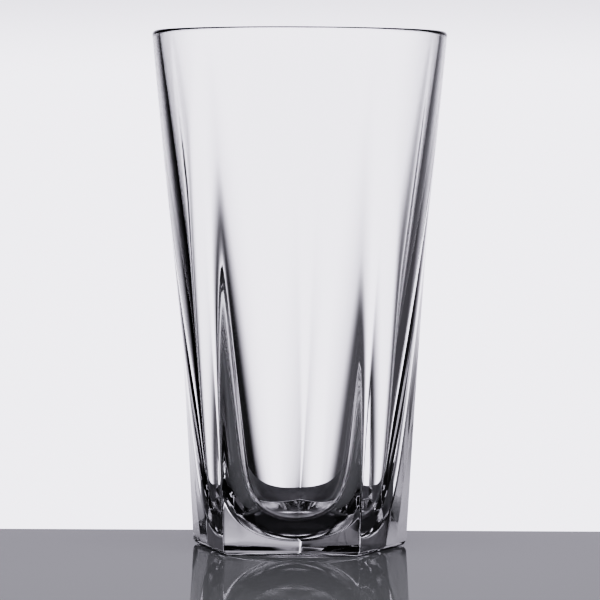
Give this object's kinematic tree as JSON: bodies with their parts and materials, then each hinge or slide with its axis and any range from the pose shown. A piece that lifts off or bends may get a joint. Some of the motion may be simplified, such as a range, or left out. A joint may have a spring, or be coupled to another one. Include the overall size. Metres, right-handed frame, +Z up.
{
  "type": "pint glass",
  "caption": "Tall clear pressed-glass tumbler with a round rim, a five-sided foot and ridges that fade out below the rim.",
  "frame": {"origin": "on the glass's axis, in the plane that the foot stands on", "axes": "+Z up along the axis, from foot to rim; one flat side of the five-sided foot faces -Y"},
  "size_m": [0.089, 0.089, 0.156],
  "materials": {
    "glass": "clear, colourless, fire-polished pressed glass"
  },
  "bodies": {
    "root": {"glass_body": "glass"}
  },
  "joints": []
}
